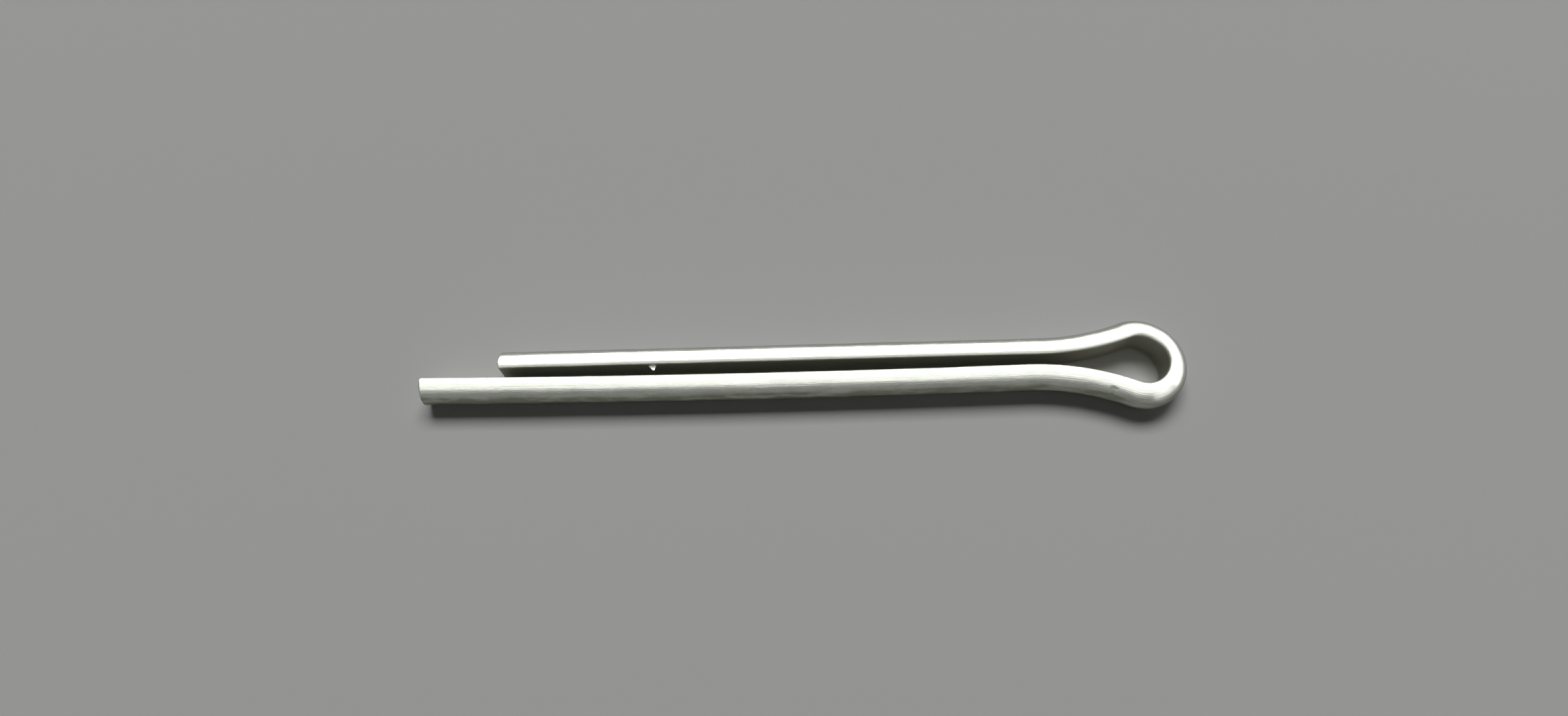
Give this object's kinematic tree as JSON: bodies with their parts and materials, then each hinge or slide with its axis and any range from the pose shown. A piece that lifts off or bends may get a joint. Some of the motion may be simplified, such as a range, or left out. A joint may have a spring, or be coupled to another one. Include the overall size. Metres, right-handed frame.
{
  "type": "cotter pin",
  "caption": "Split cotter pin of folded half-round wire, with a teardrop eye, a straight round shank and square-cut tips, the rear tip set back so that the legs spread easily.",
  "frame": {"origin": "centre of the eye's round nose, half way up the wire", "axes": "+X out through the nose of the eye, away from the legs; +Z along the eye's axis, up when the pin lies on its side; the short leg is on the +Y side"},
  "size_m": [0.0671, 0.0081, 0.0036],
  "materials": {
    "wire": "bright drawn wire with a thin zinc coat, satin, with fine lines along its length"
  },
  "bodies": {
    "root": {"cotter_pin": "wire"}
  },
  "joints": []
}
